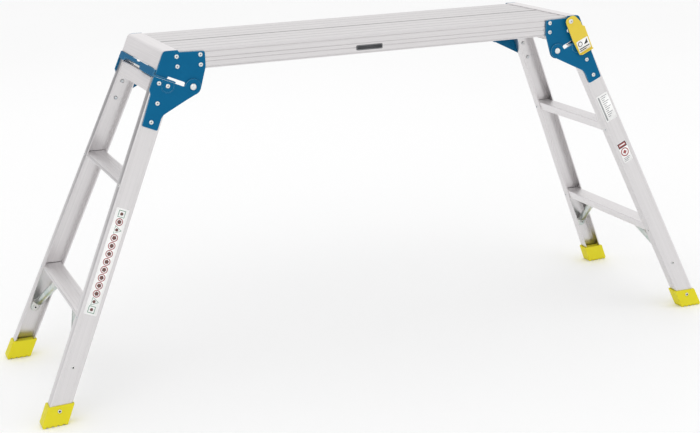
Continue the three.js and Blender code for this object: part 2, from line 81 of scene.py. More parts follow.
RAIL_CENTRE = 65
RAIL_HALF = 23
RAIL_DEPTH = 25
RAIL_WEB = 2.4
RAIL_FLANGE = 2.2
RAIL_TOP = 10
RAIL_BOTTOM = 771
BEND = 32
FLARE = math.radians(6.2)
CLEAR = 0.3
RUNG_DEPTH = 25  # of a rung's inboard side
RUNG_GAP = 2.5  # between a rung's end and the web
RUNG_LOW = RAIL_CENTRE - RAIL_HALF + RAIL_FLANGE + CLEAR
RUNG_HIGH = RAIL_CENTRE + RAIL_HALF - RAIL_FLANGE - CLEAR


def flare(down):
    """How far a rail has spread sideways, this far down the leg."""
    return max(0.0, down - BEND) * math.tan(FLARE)


def leg_point(end, out, y, down):
    """A point of a leg frame, in metres: outboard, across and down the leg, in millimetres."""
    point = PIVOT + OUT * out + DOWN * down
    return Vector((ENDS[end] * point.x, y, point.z)) * MM


def leg_down(out, z):
    """How far down the leg the height z is, at a distance outboard."""
    return (PIVOT.z + out * OUT.z - z) / OUT.x


def rung_under(tread):
    """How far down the leg a rung's underside is."""
    return leg_down(RUNG_LOW, tread) + RUNG_DEPTH


def leg_axis(end):
    return Vector((ENDS[end] * OUT.x, 0, OUT.z))


def web_point(end, side, out, down, lift=0.0):
    """A point on the outside of a rail's web, lifted off it."""
    y = SIDES[side] * (PLATE_OUT + flare(down) + lift)
    return leg_point(end, out, y, down)


def web_normal(side, down):
    if down < BEND:
        return Vector((0, SIDES[side], 0))
    return Vector((0, SIDES[side] * math.cos(FLARE), math.sin(FLARE)))


# ------------------------------------------------------------------ node materials


class Nodes:
    """A small writer for one material's node tree."""

    def __init__(self, name):
        self.material = bpy.data.materials.new(name)
        self.material.use_nodes = True
        self.tree = self.material.node_tree
        self.shader = self.tree.nodes["Principled BSDF"]

    def add(self, kind, links=None, **settings):
        node = self.tree.nodes.new(kind)
        for key, value in settings.items():
            setattr(node, key, value)
        for key, value in (links or {}).items():
            self.feed(node.inputs[key], value)
        return node

    def feed(self, socket, value):
        if isinstance(value, bpy.types.NodeSocket):
            self.tree.links.new(value, socket)
        else:
            socket.default_value = value

    def coordinates(self, source, scale, turn=0.0):
        places = self.add("ShaderNodeTexCoord")
        links = {"Vector": places.outputs[source], "Scale": scale, "Rotation": (0, turn, 0)}
        return self.add("ShaderNodeMapping", links).outputs[0]

    def noise(self, vector, scale=1.0, detail=4.0, roughness=0.55):
        links = {"Vector": vector, "Scale": scale, "Detail": detail, "Roughness": roughness}
        return self.add("ShaderNodeTexNoise", links).outputs["Fac"]

    def ramp(self, factor, low, high):
        """A factor stretched so that low becomes 0 and high becomes 1."""
        links = {"Value": factor, "From Min": low, "From Max": high}
        return self.add("ShaderNodeMapRange", links).outputs["Result"]

    def blend(self, factor, first, second):
        node = self.add("ShaderNodeMix", data_type="RGBA")
        self.feed(node.inputs["Factor"], factor)
        self.feed(node.inputs["A"], first)
        self.feed(node.inputs["B"], second)
        return node.outputs["Result"]

    def math(self, operation, first, second):
        node = self.add("ShaderNodeMath", operation=operation)
        self.feed(node.inputs[0], first)
        self.feed(node.inputs[1], second)
        return node.outputs[0]

    def bump(self, height, strength, distance):
        links = {"Height": height, "Strength": strength, "Distance": distance}
        return self.add("ShaderNodeBump", links).outputs["Normal"]

    def edges(self, radius):
        """1 on sharp edges and 0 on open faces."""
        soft = self.add("ShaderNodeBevel", {"Radius": radius}, samples=6)
        hard = self.add("ShaderNodeNewGeometry")
        node = self.add("ShaderNodeVectorMath", operation="DOT_PRODUCT")
        self.feed(node.inputs[0], soft.outputs[0])
        self.feed(node.inputs[1], hard.outputs["Normal"])
        return self.ramp(node.outputs["Value"], 0.995, 0.9)

    def set(self, **inputs):
        for key, value in inputs.items():
            self.feed(self.shader.inputs[key.replace("_", " ")], value)


def rgb(red, green, blue):
    return (red, green, blue, 1.0)


def plank_painted_shade(nodes):
    """How deep a point lies in the painted shade along the line between the planks, or between two
    ribbed bands.
    """
    split = nodes.add("ShaderNodeSeparateXYZ", {0: nodes.coordinates("Object", (1, 1, 1))})
    across = nodes.math("ABSOLUTE", split.outputs["Y"], 0.0)
    seam = nodes.ramp(across, 0.0065, 0.0025)
    bands = nodes.math("PINGPONG", across, DECK_SIDE * MM / 8)
    gaps = nodes.math("MULTIPLY", nodes.ramp(bands, 0.004, 0.0015), 0.4)
    inside = nodes.ramp(across, 0.139, 0.136)
    joint = nodes.math("MULTIPLY", seam, 0.85)
    return nodes.math("MAXIMUM", joint, nodes.math("MULTIPLY", gaps, inside))


def drawn_aluminium(name, tone, scale=(1.5, 700, 1), rough=0.34, painted_shade_at=None):
    """Mill-finish extrusion: fine lines along the draw, a slow cloudiness and, where asked, painted
    shade lines.
    """
    tint = (1, 0.975, 0.98)
    nodes = Nodes(name)
    lines = nodes.noise(nodes.coordinates("UV", scale), 1.0, 3.0)
    hair = nodes.noise(nodes.coordinates("UV", tuple(4 * value for value in scale)), 1.0, 2.0)
    cloud = nodes.noise(nodes.coordinates("Object", (5, 5, 5)), 1.0, 3.0)
    grain = nodes.math("ADD", nodes.math("MULTIPLY", lines, 0.65), nodes.math("MULTIPLY", hair, 0.35))
    dark = rgb(*(0.94 * tone * part for part in tint))
    light = rgb(*(1.04 * tone * part for part in tint))
    color = nodes.blend(nodes.ramp(grain, 0.38, 0.62), dark, light)
    color = nodes.blend(nodes.math("MULTIPLY", nodes.ramp(cloud, 0.35, 0.7), 0.25), color, light)
    # painted shade: darker lines along the deck's plank seam and between its ribbed bands
    if painted_shade_at:
        shade = rgb(*(0.3 * tone * part for part in tint))
        color = nodes.blend(painted_shade_at(nodes), color, shade)
    roughness = nodes.math("ADD", nodes.math("MULTIPLY", cloud, 0.16), rough - 0.05)
    roughness = nodes.math("ADD", roughness, nodes.math("MULTIPLY", hair, 0.08))
    nodes.set(Base_Color=color, Metallic=1.0, Roughness=roughness)
    nodes.set(Normal=nodes.bump(grain, 0.25, 0.0002))
    return nodes.material


def powder_coat(name, base, light, edge_highlight_color, rough=0.42, edge=0.0008):
    """Sprayed paint on sheet steel: orange peel, a little mottling and a painted highlight in a paler
    colour on the cut edges.
    """
    nodes = Nodes(name)
    peel = nodes.noise(nodes.coordinates("Object", (420, 420, 420)), 1.0, 2.0)
    mottle = nodes.noise(nodes.coordinates("Object", (22, 22, 22)), 1.0, 5.0)
    specks = nodes.noise(nodes.coordinates("Object", (1500, 1500, 1500)), 1.0, 1.0)
    color = nodes.blend(nodes.math("MULTIPLY", nodes.ramp(mottle, 0.3, 0.75), 0.4), base, light)
    # painted highlight: the sharp edges turn towards a paler colour, in patches of the mottle
    painted_edge_highlight = nodes.math("MULTIPLY", nodes.edges(edge), nodes.ramp(mottle, 0.25, 0.55))
    color = nodes.blend(nodes.math("MULTIPLY", painted_edge_highlight, 0.7), color, edge_highlight_color)
    roughness = nodes.math("ADD", nodes.math("MULTIPLY", mottle, 0.16), rough - 0.08)
    nodes.set(Base_Color=color, Roughness=roughness, Specular_IOR_Level=0.1)
    height = nodes.math("ADD", peel, nodes.math("MULTIPLY", specks, 0.25))
    nodes.set(Normal=nodes.bump(height, 0.18, 0.0003))
    return nodes.material


def moulded_plastic(name, base, dark):
    """Yellow moulded plastic: spark-eroded grain, with scuffs and floor dirt near the sole."""
    nodes = Nodes(name)
    grain = nodes.noise(nodes.coordinates("Object", (900, 900, 900)), 1.0, 2.0)
    flow = nodes.noise(nodes.coordinates("Object", (35, 35, 35)), 1.0, 4.0)
    scuff = nodes.noise(nodes.coordinates("Object", (60, 60, 400)), 1.0, 3.0)
    height = nodes.add("ShaderNodeSeparateXYZ", {0: nodes.coordinates("Object", (1, 1, 1))})
    low = nodes.ramp(height.outputs["Z"], 0.006, 0.0)
    dirt = nodes.math("MULTIPLY", low, nodes.ramp(scuff, 0.35, 0.65))
    color = nodes.blend(nodes.math("MULTIPLY", nodes.ramp(flow, 0.3, 0.7), 0.3), base, dark)
    color = nodes.blend(nodes.math("MULTIPLY", dirt, 0.35), color, rgb(0.22, 0.17, 0.05))
    nodes.set(Base_Color=color, Roughness=nodes.math("ADD", nodes.math("MULTIPLY", flow, 0.2), 0.4))
    nodes.set(Normal=nodes.bump(grain, 0.2, 0.0002))
    nodes.set(Subsurface_Weight=0.08, Subsurface_Scale=0.004, Specular_IOR_Level=0.25)
    return nodes.material


def zinc_plate(name, tone=0.68, rough=0.24, cast=(0.80, 0.86, 0.90)):
    """Bright zinc plating with a faint spangle and patches of another cast."""
    nodes = Nodes(name)
    places = nodes.coordinates("Object", (260, 260, 260))
    cells = nodes.add("ShaderNodeTexVoronoi", {"Vector": places, "Scale": 1.0})
    patch = nodes.noise(nodes.coordinates("Object", (45, 45, 45)), 1.0, 4.0)
    warm = rgb(tone, 0.985 * tone, 0.95 * tone)
    cool = rgb(*(part * tone for part in cast))
    color = nodes.blend(nodes.ramp(patch, 0.35, 0.65), warm, cool)
    spangle = nodes.math("MULTIPLY", cells.outputs["Distance"], 0.12)
    roughness = nodes.math("ADD", nodes.math("ADD", spangle, rough), nodes.math("MULTIPLY", patch, 0.1))
    nodes.set(Base_Color=color, Metallic=1.0, Roughness=roughness)
    nodes.set(Normal=nodes.bump(cells.outputs["Distance"], 0.05, 0.0002))
    return nodes.material


def printed_vinyl(name, color, rough=0.3):
    """A sticker's ink or film, with a faint unevenness."""
    nodes = Nodes(name)
    wave = nodes.noise(nodes.coordinates("Object", (80, 80, 80)), 1.0, 4.0)
    dots = nodes.noise(nodes.coordinates("Object", (3000, 3000, 3000)), 1.0, 1.0)
    darker = rgb(*(0.92 * part for part in color))
    mixed = nodes.blend(nodes.math("MULTIPLY", nodes.ramp(wave, 0.3, 0.7), 0.5), rgb(*color), darker)
    nodes.set(Base_Color=mixed, Roughness=nodes.math("ADD", nodes.math("MULTIPLY", dots, 0.1), rough))
    nodes.set(Normal=nodes.bump(wave, 0.06, 0.0006))
    return nodes.material


def floor_paint(name):
    """A plain pale studio floor."""
    nodes = Nodes(name)
    cloud = nodes.noise(nodes.coordinates("Object", (0.6, 0.6, 0.6)), 1.0, 2.0)
    nodes.set(Base_Color=nodes.blend(cloud, rgb(0.96, 0.96, 0.96), rgb(0.98, 0.98, 0.98)))
    nodes.set(Roughness=0.85, Specular_IOR_Level=0.1)
    return nodes.material


LOOKS = {
    "deck": drawn_aluminium("deck_aluminium", 0.70, (1.2, 500, 1), 0.4, plank_painted_shade),
    "rail": drawn_aluminium("rail_aluminium", 0.71, (1.5, 700, 1), 0.24),
    "rung": drawn_aluminium("rung_aluminium", 0.79, (2.5, 700, 1), 0.36),
    "cap": drawn_aluminium("cap_aluminium", 0.82, (3.0, 500, 1), 0.64),
    # each powder coat's third colour is its painted edge highlight
    "blue": powder_coat(
        "blue_coat", rgb(0, 0.11, 0.245), rgb(0.003, 0.14, 0.30), rgb(0.3, 0.56, 0.7), edge=0.0012
    ),
    "lever": powder_coat("lever_coat", rgb(0.74, 0.56, 0.06), rgb(0.8, 0.64, 0.11), rgb(0.86, 0.8, 0.3)),
    "yellow": moulded_plastic("foot_plastic", rgb(0.73, 0.65, 0.015), rgb(0.67, 0.59, 0.012)),
    "zinc": zinc_plate("zinc_steel", 0.82, 0.18),
    "stay": zinc_plate("stay_steel", 0.7, 0.2, (0.72, 0.84, 0.8)),
    # darker metal for the mandrel stems, and for the painted shade in the lever screw's recess
    "mandrel": zinc_plate("rivet_mandrel_and_recess_shade", 0.36, 0.42, (0.95, 0.82, 0.78)),
    # near-black metal: painted shade in the rivets' bores
    "dark": zinc_plate("painted_bore_shade", 0.02, 0.55),
    "white": printed_vinyl("label_film", (0.98, 0.98, 0.97)),
    "red": printed_vinyl("label_red", (0.36, 0.07, 0.07)),
    "green": printed_vinyl("label_green", (0.12, 0.3, 0.2)),
    "ink": printed_vinyl("label_ink", (0.035, 0.035, 0.04)),
    "brown": printed_vinyl("label_brown", (0.16, 0.07, 0.06)),
    "grey": printed_vinyl("label_grey", (0.32, 0.33, 0.34)),
}

# ------------------------------------------------------------------ mesh building


def rounded(corners, steps=5):
    """A closed outline through corners (a, b, radius), each turned by an arc."""
    outline = []
    for index, (a, b, *radius) in enumerate(corners):
        radius = radius[0] if radius else 0.0
        corner = Vector((a, b))
        before = (Vector(corners[index - 1][:2]) - corner).normalized()
        after = (Vector(corners[(index + 1) % len(corners)][:2]) - corner).normalized()
        if radius <= 0:
            outline.append((a, b))
            continue
        half = before.angle(after) / 2
        centre = corner + (before + after).normalized() * radius / math.sin(half)
        start = corner + before * radius / math.tan(half) - centre
        end = corner + after * radius / math.tan(half) - centre
        turn = start.angle_signed(end)
        for step in range(steps + 1):
            angle = -turn * step / steps
            outline.append(tuple(centre + Matrix.Rotation(angle, 2) @ start))
    return outline


def finish_mesh(name, vertices, faces, look, uvs=None, smooth=35):
    """A piece with its look, shaded smooth up to an angle between faces."""
    mesh = bpy.data.meshes.new(name)
    mesh.from_pydata(vertices, [], faces)
    if uvs is not None:
        layer = mesh.uv_layers.new(name="length")
        for loop in mesh.loops:
            layer.data[loop.index].uv = uvs[loop.vertex_index]
    mesh.validate()
    obj = bpy.data.objects.new(name, mesh)
    bpy.context.scene.collection.objects.link(obj)
    outward(mesh)
    mesh.shade_smooth()
    mesh.set_sharp_from_angle(angle=math.radians(smooth))
    mesh.materials.append(LOOKS[look])
    return obj


def outward(mesh):
    """Turns every face to point out of the solid."""
    work = bmesh.new()
    work.from_mesh(mesh)
    bmesh.ops.recalc_face_normals(work, faces=work.faces)
    work.to_mesh(mesh)
    work.free()


def sweep(name, outline, stations, place, look, smooth=35):
    """A closed solid: the outline carried through the stations by place(a, b, station)."""
    count = len(outline)
    vertices = [place(a, b, t) for t in stations for a, b in outline]
    around = [0.0]
    for first, second in zip(outline, outline[1:]):
        around.append(around[-1] + math.dist(first, second) * MM)
    along = [0.0]
    for index in range(1, len(stations)):
        step = vertices[index * count] - vertices[(index - 1) * count]
        along.append(along[-1] + step.length)
    uvs = [(u, v) for u in along for v in around]
    faces = []
    for ring in range(len(stations) - 1):
        for index in range(count):
            following = (index + 1) % count
            base = ring * count
            above = base + count
            faces.append((base + index, base + following, above + following, above + index))
    faces.append(tuple(range(count)))
    faces.append(tuple(range((len(stations) - 1) * count, len(stations) * count)))
    return finish_mesh(name, vertices, faces, look, uvs, smooth)


def turned(profile, centre, axis, segments=32):
    """Vertices and faces of a profile (radius, height) turned about an axis through centre."""
    axis = axis.normalized()
    across = axis.orthogonal().normalized()
    other = axis.cross(across)
    vertices, faces, rings = [], [], []
    for radius, height in profile:
        start = len(vertices)
        if radius < 1e-6:
            vertices.append(centre + axis * height * MM)
            rings.append([start] * segments)
            continue
        for step in range(segments):
            angle = 2 * math.pi * step / segments
            arm = across * math.cos(angle) + other * math.sin(angle)
            vertices.append(centre + (axis * height + arm * radius) * MM)
        rings.append(list(range(start, start + segments)))
    for lower, upper in zip(rings, rings[1:]):
        for step in range(segments):
            corner = (step + 1) % segments
            face = [lower[step], lower[corner], upper[corner], upper[step]]
            unique = list(dict.fromkeys(face))
            if len(unique) > 2:
                faces.append(tuple(unique))
    return vertices, faces


def turned_group(name, items, look, smooth=40):
    """One piece of several turned solids, each (profile, centre, axis)."""
    vertices, faces = [], []
    for profile, centre, axis in items:
        more, links = turned(profile, centre, axis)
        base = len(vertices)
        vertices.extend(more)
        faces.extend(tuple(base + index for index in face) for face in links)
    return finish_mesh(name, vertices, faces, look, smooth=smooth)


def soften(obj, width, segments=2, angle=28):
    """Rounds a piece's sharp edges without touching its mesh data."""
    bevel = obj.modifiers.new("rounded_edges", "BEVEL")
    bevel.width = width * MM
    bevel.segments = segments
    bevel.limit_method = "ANGLE"
    bevel.angle_limit = math.radians(angle)
    bevel.harden_normals = False
    normals = obj.modifiers.new("face_normals", "WEIGHTED_NORMAL")
    normals.keep_sharp = True
    return obj


# ------------------------------------------------------------------ the deck

SIDE_GROOVES = [(6.1, 2.4), (19.3, 2.0), (28, 2.0), (39.8, 2.2)]  # (below the top, height)


def plank_outline():
    """One plank's section in (y, z): ribbed tread bands, a grooved side and inner webs."""
    base, seam = DECK_TOP - 0.6, DECK_SEAM + 0.9
    bands, ribs, pitch, crown, foot = 4, 5, 5.0, 1.3, 2.0
    span = (DECK_SIDE - seam) / bands
    outline = [(seam, DECK_BOTTOM), (seam, base - 0.8), (seam + 0.8, base)]
    for band in range(bands):
        middle = seam + (band + 0.5) * span
        for rib in range(ribs):
            y = middle + (rib - (ribs - 1) / 2) * pitch
            outline += [(y - foot, base), (y - crown, DECK_TOP), (y + crown, DECK_TOP), (y + foot, base)]
    outline += [(DECK_SIDE - 2.2, base), (DECK_SIDE - 1.6, DECK_TOP), (DECK_SIDE - 0.6, DECK_TOP)]
    outline += [(DECK_SIDE, DECK_TOP - 0.6)]
    floor = DECK_SIDE - 1.4
    for drop, tall in SIDE_GROOVES:
        above, below = DECK_TOP - drop + tall / 2, DECK_TOP - drop - tall / 2
        outline += [(DECK_SIDE, above), (floor, above - 0.3), (floor, below + 0.3), (DECK_SIDE, below)]
    wall, top_wall, lip = 2.4, 3.2, 12.0
    under = DECK_TOP - top_wall
    outline += [(DECK_SIDE, DECK_BOTTOM + 0.5), (DECK_SIDE - 0.5, DECK_BOTTOM)]
    outline += [(DECK_SIDE - lip, DECK_BOTTOM), (DECK_SIDE - lip, DECK_BOTTOM + wall)]
    outline += [(DECK_SIDE - wall, DECK_BOTTOM + wall), (DECK_SIDE - wall, under)]
    for share in (2 / 3, 1 / 3):
        y = seam + (DECK_SIDE - seam) * share
        outline += [(y + wall / 2, under), (y + wall / 2, DECK_BOTTOM + wall)]
        outline += [(y - wall / 2, DECK_BOTTOM + wall), (y - wall / 2, under)]
    outline += [(seam + wall, under), (seam + wall, DECK_BOTTOM + wall)]
    outline += [(seam + lip / 2, DECK_BOTTOM + wall), (seam + lip / 2, DECK_BOTTOM)]
    return outline


def build_planks():
    """The two planks, their ribs milled away under the caps' lips."""
    outline = plank_outline()
    seat = CAP_INNER - CLEAR
    half = [0, DECK_HALF / 3, seat - 0.1, seat, DECK_HALF]
    stations = [-x for x in reversed(half[1:])] + half
    for side, sign in SIDES.items():

        def place(y, z, x):
            height = min(z, DECK_TOP - 0.9) if abs(x) >= seat else z
            return Vector((x, sign * y, height)) * MM

        plank = sweep(f"plank_{side}", outline, stations, place, "deck", smooth=25)
        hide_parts(f"deck_plank_{side}")
        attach(plank, "deck")


def cap_x(out, z):
    """The x of the plane that lies "out" from the right pivot, at a height."""
    return PIVOT.x + (out - (z - PIVOT.z) * OUT.z) / OUT.x


def build_caps():
    """The end caps: a thin lip, a round corner and a sloping face."""
    face, wall, radius = 90.4, 2.4, 10.0
    inside = CAP_TOP - wall
    low = -9.0
    bottom = PIVOT + OUT * face + DOWN * low
    inner = PIVOT + OUT * (face - wall) + DOWN * low
    corners = [(CAP_INNER, CAP_TOP, 0.5), (cap_x(face, CAP_TOP), CAP_TOP, radius)]
    corners += [(bottom.x, bottom.z, 0.7), (inner.x, inner.z, 0.7)]
    corners += [(cap_x(face - wall, inside), inside, radius - wall), (CAP_INNER, inside, 0.5)]
    outline = rounded(corners, 8)
    for end, sign in ENDS.items():

        def place(x, z, y):
            return Vector((sign * x, y, z)) * MM

        cap = sweep(f"cap_{end}", outline, [-DECK_SIDE, 0, DECK_SIDE], place, "cap", smooth=25)
        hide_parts(f"end_cap_{end}")
        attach(cap, "deck")


# ------------------------------------------------------------------ the leg frames


def rail_outline():
    """A channel in (out, depth inwards), with grooved web and beaded flange edges."""
    low, high = RAIL_CENTRE - RAIL_HALF, RAIL_CENTRE + RAIL_HALF
    corners = [(low, 0, 1.8)]
    for offset in (-16.5, -13.5, 13.5, 16.5):
        middle = RAIL_CENTRE + offset
        corners += [(middle - 0.7, 0), (middle - 0.35, 0.3), (middle + 0.35, 0.3), (middle + 0.7, 0)]
    corners += [(high, 0, 1.8), (high, RAIL_DEPTH, 0.9), (high - 3.4, RAIL_DEPTH, 0.9)]
    corners += [(high - 3.4, RAIL_DEPTH - 3, 0.6), (high - RAIL_FLANGE, RAIL_DEPTH - 4.2)]
    corners += [(high - RAIL_FLANGE, RAIL_WEB, 1.0), (low + RAIL_FLANGE, RAIL_WEB, 1.0)]
    corners += [(low + RAIL_FLANGE, RAIL_DEPTH - 4.2), (low + 3.4, RAIL_DEPTH - 3, 0.6)]
    corners += [(low + 3.4, RAIL_DEPTH, 0.9), (low, RAIL_DEPTH, 0.9)]
    return rounded(corners, 4)


def build_rails():
    outline = rail_outline()
    stations = [RAIL_TOP, 22, BEND - 2, BEND, BEND + 2, 60, 240, 420, 600, RAIL_BOTTOM]
    for end, side in PLACES:

        def place(out, depth, down):
            y = SIDES[side] * (PLATE_OUT - depth + flare(down))
            return leg_point(end, out, y, down)

        rail = sweep(f"rail_{end}_{side}", outline, stations, place, "rail", smooth=30)
        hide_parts(f"leg_rail_{end}_{side}")
        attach(rail, f"leg_{end}")


def build_rungs():
    """Wedges: level grooved treads over an underside square to the leg."""
    for end in ENDS:
        for name, tread in TREADS.items():
            under = rung_under(tread)
            corners = [(RUNG_LOW, -leg_down(RUNG_LOW, tread), 1.0)]
            for groove in range(5):
                middle = RUNG_LOW + (RUNG_HIGH - RUNG_LOW) * (groove + 1) / 6
                for shift, deep in ((-1.1, 0), (-0.7, 0.35), (0.7, 0.35), (1.1, 0)):
                    out = middle + shift
                    corners.append((out, -leg_down(out, tread - deep)))
            corners += [(RUNG_HIGH, -leg_down(RUNG_HIGH, tread), 1.0)]
            corners += [(RUNG_HIGH, -under, 1.0), (RUNG_LOW, -under, 1.0)]

            def place(out, up, share):
                reach = PLATE_OUT - RAIL_WEB - RUNG_GAP + flare(-up)
                return leg_point(end, out, share * reach, -up)

            stations = [-1, -0.5, 0, 0.5, 1]
            rung = sweep(f"tread_{name}_{end}", rounded(corners, 4), stations, place, "rung", smooth=30)
            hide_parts(f"{name}_rung_{end}")
            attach(rung, f"leg_{end}")


def build_top_rungs():
    """The angles under the lock bars."""
    low, sheet, top, bottom = RUNG_HIGH - 25, 2.5, 11, 44
    corners = [(low, top, 0.8), (RUNG_HIGH, top, 2.5), (RUNG_HIGH, bottom, 0.8)]
    corners += [(RUNG_HIGH - sheet, bottom, 0.8), (RUNG_HIGH - sheet, top + sheet, 0.5)]
    corners += [(low, top + sheet, 0.8)]
    outline = rounded(corners, 4)
    reach = PLATE_OUT - RAIL_WEB - RUNG_GAP
    for end in ENDS:

        def place(out, down, share):
            return leg_point(end, out, share * reach, down)

        rung = sweep(f"cross_member_{end}", outline, [-1, 0, 1], place, "cap", smooth=30)
        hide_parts(f"top_rung_{end}")
        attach(rung, f"leg_{end}")


def through(points, steps):
    """A smooth path through points, as a Catmull-Rom curve."""
    path = []
    padded = [points[0]] + points + [points[-1]]
    for index in range(len(points) - 1):
        p0, p1, p2, p3 = padded[index : index + 4]
        for step in range(steps):
            t = step / steps
            path.append(
                0.5
                * (2 * p1 + (p2 - p0) * t + (2 * p0 - 5 * p1 + 4 * p2 - p3) * t * t
                   + (3 * p1 - p0 - 3 * p2 + p3) * t ** 3)
            )
    path.append(points[-1].copy())
    return path


STAY_RADIUS = 9.3
STAY_FLAT = 1.25  # half the thickness of a pressed end
STAY_WIDE = 10.6  # half its width
STAY_SIDES = 28


def stay_path():
    """A stay's centre line in (y, down), and the length along it at each point."""
    web = PLATE_OUT - RAIL_WEB - CLEAR
    head = rung_under(TREADS["lower"]) + CLEAR + STAY_FLAT
    lower, upper = Vector((206.9, 645)), Vector((106, 561.5))
    foot = [(668, 0.0), (652, 0.0), (641, 2.5)]
    points = [Vector((web + flare(down) - STAY_FLAT - off, down)) for down, off in foot]
    points += [lower.lerp(upper, share) for share in (0.1, 0.5, 0.85)]
    points += [Vector((110, head + 9.5)), Vector((100, head + 2.2))]
    points += [Vector((90, head)), Vector((79, head))]
    path = through(points, 8)
    lengths = [0.0]
    for first, second in zip(path, path[1:]):
        lengths.append(lengths[-1] + (second - first).length)
    return path, lengths


def stay_section(reach):
    """Points round a stay (across, off its centre line), at a distance from its nearer end."""
    share = min(1.0, max(0.0, (reach - 20) / 24))
    share = share * share * (3 - 2 * share)
    wide = STAY_WIDE + (STAY_RADIUS - STAY_WIDE) * share
    thick = STAY_FLAT + (STAY_RADIUS - STAY_FLAT) * share
    if reach < STAY_WIDE:
        wide *= max(0.12, math.sqrt(max(0.0, 1 - (1 - reach / STAY_WIDE) ** 2)))
    power = 1.0 if share > 0.98 else 0.75
    section = []
    for step in range(STAY_SIDES):
        angle = 2 * math.pi * step / STAY_SIDES
        cos, sin = math.cos(angle), math.sin(angle)
        across = wide * math.copysign(abs(cos) ** power, cos)
        off = thick * math.copysign(abs(sin) ** power, sin)
        section.append((across, off, angle))
    return section


def stay_faces(rings):
    faces = []
    for ring in range(rings - 1):
        base = ring * STAY_SIDES
        above = base + STAY_SIDES
        for step in range(STAY_SIDES):
            following = (step + 1) % STAY_SIDES
            faces.append((base + step, base + following, above + following, above + step))
    last = (rings - 1) * STAY_SIDES
    return faces + [tuple(range(STAY_SIDES)), tuple(range(last, last + STAY_SIDES))]


def build_braces():
    """Tube stays whose ends are pressed flat, one end on the web, one under the tread."""
    path, lengths = stay_path()
    faces = stay_faces(len(path))
    for end, side in PLACES:
        vertices, uvs = [], []
        for index, (centre, length) in enumerate(zip(path, lengths)):
            ahead = path[min(index + 1, len(path) - 1)] - path[max(index - 1, 0)]
            normal = Vector((-ahead.y, ahead.x)).normalized()
            for across, off, angle in stay_section(min(length, lengths[-1] - length)):
                y = SIDES[side] * (centre.x + off * normal.x)
                vertices.append(leg_point(end, RAIL_CENTRE + across, y, centre.y + off * normal.y))
                uvs.append((length * MM, angle * STAY_RADIUS * MM))
        stay = finish_mesh(f"stay_{end}_{side}", vertices, faces, "stay", uvs, smooth=50)
        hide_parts(f"brace_{end}_{side}")
        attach(stay, f"leg_{end}")


# ------------------------------------------------------------------ fasteners

RIVET = [(0, 0.7), (1.2, 0.8), (1.6, 1.9), (2.5, 2.5), (3.8, 2.1), (4.8, 1.1), (5.3, 0.25)]
RIVET += [(5.3, 0), (0, 0)]
STEM = [(0, 1.35), (0.8, 1.3), (1.15, 0.9), (1.15, 0.4), (0, 0.4)]

# A rivet whose mandrel has broken off inside: a dished head round its bore, and a near-black disc in the
# bore as painted shade.
OPEN_RIVET = [(0, 0.5), (2.5, 0.5), (2.6, 1.6), (3.2, 2.1), (4.0, 1.8), (4.9, 1.0), (5.3, 0.2)]
OPEN_RIVET += [(5.3, 0)]
BORE_SHADE = [(0, 1.1), (2.3, 1.0), (2.48, 0.8), (2.48, 0.4), (0, 0.4)]


def scaled(profile, radius, height):
    """A profile with its radii and heights multiplied."""
    return [(r * radius, h * height) for r, h in profile]


def deck_rivets(end, side):
    """The rivets of one deck bracket. The lever's screw takes the place of one."""
    places = [(441.6, 765.0), (441.7, 743.0), (494.5, 743.1)]
    if (end, side) != ("right", "front"):
        places.append((495.0, 764.9))
    y = SIDES[side] * PLATE_OUT
    return [Vector((ENDS[end] * x, y, z)) * MM for x, z in places]


LEG_RIVETS = [(75.5, 17.0), (54.8, 16.5), (64.8, 59.0), (65.3, 101.7)]


def build_bracket_rivets():
    for end, side in PLACES:
        across = Vector((0, SIDES[side], 0))
        for name, look, profile in (("rivets", "zinc", RIVET), ("stems", "mandrel", STEM)):
            items = [(profile, centre, across) for centre in deck_rivets(end, side)]
            group = turned_group(f"deck_{name}_{end}_{side}", items, look)
            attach(group, "deck")
            items = []
            for out, down in LEG_RIVETS:
                lift = LEG_PLATE_OUT - PLATE_OUT
                items.append((profile, web_point(end, side, out, down, lift), web_normal(side, down)))
            group = turned_group(f"leg_{name}_{end}_{side}", items, look)
            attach(group, f"leg_{end}")


def build_rivet_tails():
    """The rivets' inner ends, on the inside of the webs."""
    tail = [(0, 1.2), (1.5, 1.2), (1.9, 2.4), (3.0, 2.7), (4.2, 1.9), (4.6, 0.6), (4.4, 0), (0, 0)]
    for end, side in PLACES:
        items = []
        for out, down in LEG_RIVETS[2:]:
            centre = web_point(end, side, out, down, -RAIL_WEB)
            items.append((tail, centre, -web_normal(side, down)))
        group = turned_group(f"rivet_tails_{end}_{side}", items, "zinc")
        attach(group, f"leg_{end}")


def build_tread_rivets():
    """Small rivets through both flanges of each rail into the treads."""
    for end, side in PLACES:
        rivets, stems = [], []
        for tread in TREADS.values():
            for facing, drop in ((-1, 19.0), (1, 4.2)):
                out = RAIL_CENTRE + facing * RAIL_HALF
                down = leg_down(out, tread) + drop
                y = SIDES[side] * (PLATE_OUT + flare(down) - 8)
                centre = leg_point(end, out, y, down)
                axis = leg_axis(end) * facing
                rivets.append((scaled(OPEN_RIVET + [(0, 0)], 0.66, 0.5), centre, axis))
                # painted shade: a near-black disc in the rivet's bore
                stems.append((scaled(BORE_SHADE, 0.66, 0.5), centre, axis))
        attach(turned_group(f"tread_rivets_{end}_{side}", rivets, "zinc"), f"leg_{end}")
        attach(turned_group(f"tread_bore_shades_{end}_{side}", stems, "dark"), f"leg_{end}")


